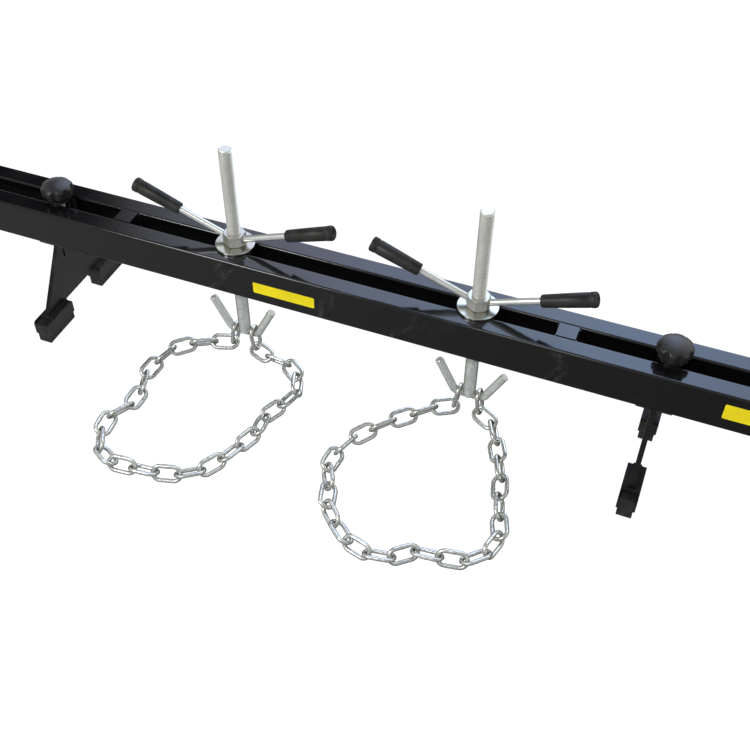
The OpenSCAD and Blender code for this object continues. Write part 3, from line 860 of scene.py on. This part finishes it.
def dress_knob(side, turned):
    """The clamp's star knob: a domed head with eight soft lobes on its hub."""
    low, high = section(side + "_knob")
    x, foot, crown = (low.x + high.x) / 2, low.z / MM, high.z / MM
    radius, hub, dome = 20.0, 10.5, 38.0
    head = foot + 5.0
    fall = dome - math.sqrt(dome ** 2 - radius ** 2)
    brim = crown - fall - 0.4
    half = [(0.0, foot + 0.6), (5.2, foot + 0.6), (7.4, foot + 0.3), (hub - 0.6, foot),
            (hub, foot + 0.6), (hub, head - 0.6), (hub + 0.5, head - 0.1), (hub + 2.5, head),
            (radius - 3.0, head)]
    half += arc(radius - 1.7, head + 1.4, 1.4, -88, 0, 5)
    half += [(radius - 0.1, head + 5.0), (radius, brim - 1.6)]
    half += arc(radius - 1.6, brim - 1.4, 1.5, 10, 62, 4)
    half += [(r, crown - 0.05 - dome + math.sqrt(dome ** 2 - r ** 2))
             for r in (17.4, *range(16, -1, -2))]
    knob = shape(side + "_star_knob", profile_mesh(half), turned, knob_plastic, {
        "Sides": 128, "Lobes": 8, "Lobe reach": radius * MM + 0.1 * MM, "Hollow": 3.2 * MM,
        "Softness": 0.9 * MM})
    knob.data.transform(Matrix.Translation((x, 0, 0)))
    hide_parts(side + "_knob")
    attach(knob, side + "_clamp_knob")


def dress_leg(side, bead, thread):
    """The leg's welds, under the saddle and on the shoes, and its threaded stud."""
    low, high = section(side + "_leg_plate")
    x, half = (low.x + high.x) / 2, (high.x - low.x) / 2
    lines = []
    for face in (-1, 1):
        at = x + face * (half + 0.3 * MM)
        for z, runs in ((high.z - 0.6 * MM, SADDLE_RUNS), (low.z + 0.5 * MM, SHOE_RUNS)):
            for a, b in runs:
                lines.append(run_points(Vector((at, a * MM, z)), Vector((at, b * MM, z))))
    joint = shape(side + "_leg_welds", lines_mesh(lines), bead, leg_paint, {
        "Bead radius": 1.8 * MM, "Ripple": 1.9 * MM, "Unevenness": 0.3, "Seed": 13})
    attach(joint, side + "_leg")

    low, high = section(side + "_stud")
    guide = guide_mesh([((low.x + high.x) / 2, 0.0, 0.0)])
    stud = shape(side + "_threaded_stud", guide, thread, thread_zinc, {
        "Foot": low.z, "Top": high.z, "Radius": (high.x - low.x) / 2, "Depth": 0.85 * MM,
        "Pitch": 1.5 * MM, "Chamfer": 1.0 * MM, "Sides": 20})
    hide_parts(side + "_stud")
    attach(stud, side + "_leg")


def dress_pads(side):
    """The rubber blocks, pressed into their channels, their edges worn round."""
    for end in ("front", "rear"):
        low, high = section(side + "_" + end + "_pad")
        walls_low, walls_high = section(side + "_" + end + "_shoe")
        size = high - low
        size.x = walls_high.x - walls_low.x - SHOE_WALLS
        block = bmesh.new()
        place = Matrix.Translation((low + high) / 2) @ Matrix.Diagonal((*size, 1.0))
        bmesh.ops.create_cube(block, size=1.0, matrix=place)
        top = high.z - 0.1 * MM
        for reach, picked in ((3.0 * MM, lambda z: max(z) < top and max(z) - min(z) < 1 * MM),
                              (1.1 * MM, lambda z: max(z) > top)):
            edges = [edge for edge in block.edges if picked([v.co.z for v in edge.verts])]
            bmesh.ops.bevel(block, geom=edges, offset=reach, segments=5, affect="EDGES",
                            profile=0.5)
        # The bevel leaves points and faces in any order, so they are put in a fixed one
        points = sorted(block.verts, key=lambda v: tuple(v.co))
        number = {v: i for i, v in enumerate(points)}
        faces = sorted([number[v] for v in face.verts] for face in block.faces)
        mesh = bpy.data.meshes.new("pad")
        mesh.from_pydata([v.co for v in points], [], faces)
        block.free()
        mesh.shade_smooth()
        mesh.set_sharp_from_angle(angle=math.radians(35))
        mesh.materials.append(foot_rubber)
        pad = keep(side + "_" + end + "_rubber_block", mesh)
        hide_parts(side + "_" + end + "_pad")
        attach(pad, side + "_leg")


def weld_spacers(bead):
    """Beads down the corners where the spacers meet the rails' inner walls."""
    lines = []
    for node in ("left_spacer", "right_spacer", "left_end_spacer", "right_end_spacer"):
        low, high = section(node)
        for x, out in ((low.x, -1), (high.x, 1)):
            if abs(x) > RAIL_END:
                continue
            for y in (low.y + 0.5 * MM, high.y - 0.5 * MM):
                ends = (Vector((x + out * 0.4 * MM, y, z))
                        for z in (low.z + 2 * MM, high.z - 2.5 * MM))
                lines.append(run_points(*ends, 16))
    joint = shape("spacer_welds", lines_mesh(lines), bead, rail_paint, {
        "Bead radius": 1.7 * MM, "Ripple": 2.0 * MM, "Unevenness": 0.3, "Seed": 21})
    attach(joint, "beam")


def bare_label(name, left, right, top, bottom, face):
    """A blank film label with rounded corners, stuck on the front rail."""
    thick, radius = 0.16 * MM, 1.6 * MM
    corners = []
    for turn, x, z in (
            (0, right - radius, top - radius), (90, left + radius, top - radius),
            (180, left + radius, bottom + radius), (270, right - radius, bottom + radius)):
        corners += arc(x, z, radius, turn, turn + 90)
    count = len(corners)
    centre = Vector(((left + right) / 2, (top + bottom) / 2))
    inner = []
    for x, z in corners:
        away = (Vector((x, z)) - centre).normalized() * thick
        inner.append((x - away.x, z - away.y))
    points = [(x, y, z) for outline, y in ((corners, face), (corners, face - thick * 0.6),
                                           (inner, face - thick)) for x, z in outline]
    faces = [tuple(range(count))[::-1], tuple(range(2 * count, 3 * count))]
    for i in range(count):
        j = (i + 1) % count
        faces.append((i, j, count + j, count + i))
        faces.append((count + i, count + j, 2 * count + j, 2 * count + i))
    mesh = bpy.data.meshes.new(name)
    mesh.from_pydata(points, [], faces)
    mesh.materials.append(label_film)
    label = keep(name, mesh)
    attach(label, "beam")


# Stage and camera

# How far the lowered hooks and their hanging chains reach below the feet
HANGING_ROOM = 0.35
# Polished faces see the floor as a glow, from its left to its right, in metres
FLOOR_ENDS = (-1.10, 1.23)
FLOOR_SEEN = (0.42, 0.12)
# The eye sees it nearly as plain white paper
PAPER_WHITE = 1.12
PAPER_SHARE = 0.8
# The camera: its turn, tilt and roll in radians, its place, and its lens in pixels
CAMERA_TURN = (-0.369294, 0.795597, 0.008695)
CAMERA_PLACE = (0.38365, -0.85516, 0.78038)
FOCAL_LENGTH_PIXELS = 1036.52
PHOTO_PIXELS = 750


def make_floor(height):
    """A plain pale floor, below the chains' lowest place. Polished faces see it darker."""
    far = 14.0
    mesh = bpy.data.meshes.new("floor")
    mesh.from_pydata([(-far, -far, height), (far, -far, height), (far, far, height),
                      (-far, far, height)], [], [(0, 1, 2, 3)])
    material, tree, shader = new_finish("pale_floor", specular_ior_level=0.1)
    paper = noise(tree, 220.0)
    feed(tree, shader, base_color=mix_colour(tree, paper, grey(0.88), grey(0.91)),
         roughness=ramp(tree, paper, 0.2, 0.8, 0.7, 0.85))
    level = ramp(tree, split(tree, surface_place(tree))[0], *FLOOR_ENDS, *FLOOR_SEEN)
    dim, white = (add(tree, "ShaderNodeEmission", {"Color": grey(1.0), "Strength": strength})
                  for strength in (level, PAPER_WHITE))
    sight = add(tree, "ShaderNodeLightPath").outputs
    lifted = add(tree, "ShaderNodeMixShader", {
        0: times(tree, sight["Is Camera Ray"], PAPER_SHARE), 1: shader.outputs[0],
        2: white.outputs[0]})
    both = add(tree, "ShaderNodeMixShader",
               {0: sight["Is Glossy Ray"], 1: lifted.outputs[0], 2: dim.outputs[0]})
    tree.links.new(both.outputs[0], tree.nodes["Material Output"].inputs["Surface"])
    mesh.materials.append(material)
    new_object("floor", mesh)


# The surround's brightness: the panel's peak, the walls, in front, overhead, to the eye
PANEL_PEAK = 5.0
BACKDROP = 0.95
FRONT = 0.5
OVERHEAD = 0.4
SEEN_WHITE = 1.02
# The panel high behind, from its left to its right: how far it lies to the side,
# its share of the peak, and its green and blue against its red
PANEL = ((-0.66, 0.0, 1.0, 1.0), (-0.52, 0.005, 1.0, 1.0), (-0.49, 0.12, 1.0, 1.03),
         (-0.455, 0.21, 1.10, 1.30), (-0.40, 0.30, 1.06, 1.32), (-0.334, 0.37, 1.05, 1.38),
         (-0.288, 0.40, 1.18, 1.66), (-0.09, 0.49, 1.30, 1.85), (-0.038, 0.50, 1.32, 1.95),
         (0.067, 0.44, 1.30, 1.92), (0.17, 0.44, 1.08, 1.20), (0.35, 0.42, 1.0, 1.03),
         (0.75, 0.19, 1.0, 1.0))


def make_sky():
    """Soft studio surround: a pale blue panel high behind, a dark flag to its left."""
    world = bpy.data.worlds.new("studio")
    bpy.context.scene.world = world
    world.use_nodes = True
    tree = world.node_tree
    way = split(tree, add(tree, "ShaderNodeTexCoord").outputs["Generated"])
    behind = ramp(tree, way[1], 0.15, 0.45)
    above = ramp(tree, way[2], 0.1, 0.4)
    back = times(tree, behind, above)
    share = times_plus(tree, way[0], 0.5, 0.5)
    panel = add(tree, "ShaderNodeValToRGB", {0: share})
    stops = panel.color_ramp.elements
    for i, (x, level, green, blue) in enumerate(PANEL):
        stop = stops[i] if i < 2 else stops.new((x + 1) / 2)
        stop.position = (x + 1) / 2
        stop.color = (level, level * green, level * blue, 1.0)
    front = ramp(tree, way[1], -0.1, -0.5)
    room = mix_colour(tree, front, grey(BACKDROP / PANEL_PEAK), grey(FRONT / PANEL_PEAK))
    crown = ramp(tree, way[2], 0.55, 0.85)
    room = mix_colour(tree, crown, room, grey(OVERHEAD / PANEL_PEAK))
    lit = mix_colour(tree, back, room, panel.outputs[0])
    eye = add(tree, "ShaderNodeLightPath").outputs["Is Camera Ray"]
    shown = mix_colour(tree, eye, lit, grey(SEEN_WHITE / PANEL_PEAK))
    tree.links.new(shown, tree.nodes["Background"].inputs["Color"])
    tree.nodes["Background"].inputs["Strength"].default_value = PANEL_PEAK


def make_lamp(name, at, towards, wide, high, power):
    """A soft panel lamp that looks at a point."""
    lamp = bpy.data.lights.new(name, "AREA")
    lamp.shape, lamp.size, lamp.size_y, lamp.energy = "RECTANGLE", wide, high, power
    stand = new_object(name, lamp)
    stand.location = at
    stand.rotation_mode = "QUATERNION"
    stand.rotation_quaternion = (Vector(towards) - Vector(at)).to_track_quat("-Z", "Y")


def make_camera():
    """The photograph's own view: place, turn, tilt, roll and lens."""
    yaw, pitch, roll = CAMERA_TURN
    ahead = Vector((math.sin(yaw) * math.cos(pitch), math.cos(yaw) * math.cos(pitch),
                    -math.sin(pitch)))
    level = Vector((math.cos(yaw), -math.sin(yaw), 0))
    upright = level.cross(ahead)
    right = level * math.cos(roll) + upright * math.sin(roll)
    up = upright * math.cos(roll) - level * math.sin(roll)
    turn = Matrix((right, up, -ahead)).transposed().to_4x4()
    camera = bpy.data.cameras.new("camera")
    camera.sensor_width = 36.0
    camera.lens = FOCAL_LENGTH_PIXELS / PHOTO_PIXELS * camera.sensor_width
    camera.clip_start, camera.clip_end = 0.05, 50.0
    stand = new_object("camera", camera)
    stand.matrix_world = Matrix.Translation(CAMERA_PLACE) @ turn
    bpy.context.scene.camera = stand


# Assembly

finish_solids()
thread = make_rolled_thread()
turned = make_turned_piece()
bead = make_weld_bead()
links = make_welded_links()
for side in ("left", "right"):
    dress_screw(side, thread, bead, turned)
    dress_nut(side, bead, turned)
    dress_chain(side, links)
    dress_knob(side, turned)
    dress_leg(side, bead, thread)
    dress_pads(side)
weld_spacers(bead)

front = section("front_rail")[0].y
bare_label("left_bare_label", -90.4 * MM, -11.2 * MM, -20.0 * MM, -35.5 * MM, front)
bare_label("right_bare_label", 459.5 * MM, 538.5 * MM, -12.0 * MM, -33.0 * MM, front)

make_floor(cad_box[0][2] - HANGING_ROOM)
make_sky()
make_lamp("edge_front_left", (-1.32, -1.83, 1.98), (0.0, 0.0, 0.0), wide=0.7, high=0.9, power=34.0)
make_lamp("edge_front_right", (-0.08, -1.95, 1.98), (0.1, 0.0, 0.0), wide=0.5, high=0.8, power=7.0)
make_camera()
bpy.context.scene.view_settings.view_transform = "Standard"
